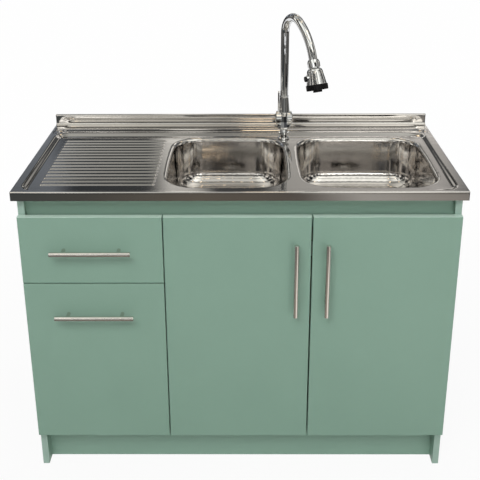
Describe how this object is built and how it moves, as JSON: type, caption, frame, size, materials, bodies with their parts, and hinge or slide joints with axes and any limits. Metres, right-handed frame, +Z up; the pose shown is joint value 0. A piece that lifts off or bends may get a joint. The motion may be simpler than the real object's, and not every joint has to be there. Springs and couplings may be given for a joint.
{
  "type": "kitchen sink unit",
  "caption": "Kitchen sink unit: pressed steel worktop with drainer, bowls and gooseneck tap on a green cabinet with drawers and doors",
  "frame": {"origin": "centre of the bounding box in X and Y, on the floor", "axes": "+Z up, +X to the viewer's right when facing the doors, +Y towards the wall"},
  "size_m": [1.2, 0.6345, 1.2692],
  "materials": {
    "carcass_board": "sage green faced board",
    "front_board": "sage green satin faced board",
    "hardboard": "smooth brown hardboard",
    "bare_board": "bare chipboard",
    "drawer_board": "pale melamine faced board",
    "stainless_sheet": "polished pressed stainless steel",
    "polished_steel": "polished stainless steel",
    "black_rubber": "black rubber",
    "waste_plastic": "white moulded plastic",
    "tap_chrome": "polished chrome plate",
    "nut_brass": "plain brass",
    "black_plastic": "black moulded plastic",
    "cartridge_plastic": "moulded plastic cartridge",
    "handle_steel": "satin stainless bar",
    "plated_steel": "zinc plated steel"
  },
  "bodies": {
    "cabinet": {"left_side_panel": "carcass_board", "right_side_panel": "carcass_board", "divider_panel": "carcass_board", "base_panel": "carcass_board", "kickboard": "carcass_board", "front_rail": "carcass_board", "back_rail": "carcass_board", "back_panel": "hardboard", "sink_support_boards": "bare_board", "angle_brackets": "plated_steel", "sink_top": "stainless_sheet", "left_bowl": "stainless_sheet", "right_bowl": "stainless_sheet", "strainer_bodies": "polished_steel", "strainer_gaskets": "black_rubber", "strainer_nuts": "waste_plastic", "waste_left_pipe": "waste_plastic", "waste_tee": "waste_plastic", "slip_nuts": "waste_plastic", "bottle_trap": "waste_plastic", "outlet_pipe": "waste_plastic", "tap_base": "tap_chrome", "tap_gasket": "black_rubber", "tap_back_nut": "nut_brass", "tap_body": "tap_chrome", "tap_cartridge": "cartridge_plastic", "cabinet_runners": "plated_steel", "hinge_arms": "plated_steel"},
    "lever": {"tap_lever": "tap_chrome"},
    "spout": {"spout_collar": "tap_chrome", "spout_pipe": "tap_chrome", "spout_end_nut": "tap_chrome"},
    "spray_head": {"head_bell": "tap_chrome", "head_grip": "black_plastic", "head_nozzle": "black_plastic"},
    "spray_button": {"head_button": "black_plastic"},
    "left_basket": {"left_strainer_basket": "polished_steel"},
    "right_basket": {"right_strainer_basket": "polished_steel"},
    "left_door": {"left_door_panel": "front_board", "left_door_handle": "handle_steel", "left_hinge_cups": "plated_steel"},
    "right_door": {"right_door_panel": "front_board", "right_door_handle": "handle_steel", "right_hinge_cups": "plated_steel"},
    "upper_drawer": {"upper_drawer_front": "front_board", "upper_drawer_sides": "drawer_board", "upper_drawer_ends": "drawer_board", "upper_drawer_bottom": "hardboard", "upper_drawer_handle": "handle_steel", "upper_drawer_runners": "plated_steel"},
    "lower_drawer": {"lower_drawer_front": "front_board", "lower_drawer_sides": "drawer_board", "lower_drawer_ends": "drawer_board", "lower_drawer_bottom": "hardboard", "lower_drawer_handle": "handle_steel", "lower_drawer_runners": "plated_steel"},
    "upper_middles": {"upper_middle_runners": "plated_steel"},
    "lower_middles": {"lower_middle_runners": "plated_steel"}
  },
  "joints": [
    {"name": "upper_drawer_slide", "type": "slide", "parent": "cabinet", "child": "upper_drawer", "axis": [0, 1, 0], "range_m": [-0.45, 0]},
    {"name": "upper_middle_slide", "type": "slide", "parent": "cabinet", "child": "upper_middles", "axis": [0, 1, 0], "range_m": [-0.225, 0]},
    {"name": "lower_drawer_slide", "type": "slide", "parent": "cabinet", "child": "lower_drawer", "axis": [0, 1, 0], "range_m": [-0.45, 0]},
    {"name": "lower_middle_slide", "type": "slide", "parent": "cabinet", "child": "lower_middles", "axis": [0, 1, 0], "range_m": [-0.225, 0]},
    {"name": "left_door_hinge", "type": "hinge", "parent": "cabinet", "child": "left_door", "pos_m": [-0.1985, -0.27825, 0.463], "axis": [0, 0, -1], "range_deg": [0, 95]},
    {"name": "right_door_hinge", "type": "hinge", "parent": "cabinet", "child": "right_door", "pos_m": [0.584, -0.27825, 0.463], "axis": [0, 0, 1], "range_deg": [0, 95]},
    {"name": "spout_swivel", "type": "hinge", "parent": "cabinet", "child": "spout", "pos_m": [0.135, 0.18425, 1], "axis": [0, 0, 1], "continuous": true},
    {"name": "head_swivel", "type": "hinge", "parent": "spout", "child": "spray_head", "pos_m": [0.20907, 0.04495, 1.15379], "axis": [0.1497, -0.2816, -0.9478], "continuous": true},
    {"name": "spray_button_press", "type": "slide", "parent": "spray_head", "child": "spray_button", "axis": [0.968, 0.2369, 0.0826], "range_m": [0, 0.002], "stiffness_N_per_m": 300},
    {"name": "lever_turn", "type": "hinge", "parent": "cabinet", "child": "lever", "pos_m": [0.121, 0.18425, 0.938], "axis": [1, 0, 0], "range_deg": [0, 90]},
    {"name": "left_basket_lift", "type": "slide", "parent": "cabinet", "child": "left_basket", "axis": [0, 0, 1], "range_m": [0, 0.04]},
    {"name": "right_basket_lift", "type": "slide", "parent": "cabinet", "child": "right_basket", "axis": [0, 0, 1], "range_m": [0, 0.04]}
  ],
  "couplings": [
    {"joint": "upper_middle_slide", "follows": "upper_drawer_slide", "ratio": 0.5},
    {"joint": "lower_middle_slide", "follows": "lower_drawer_slide", "ratio": 0.5}
  ]
}
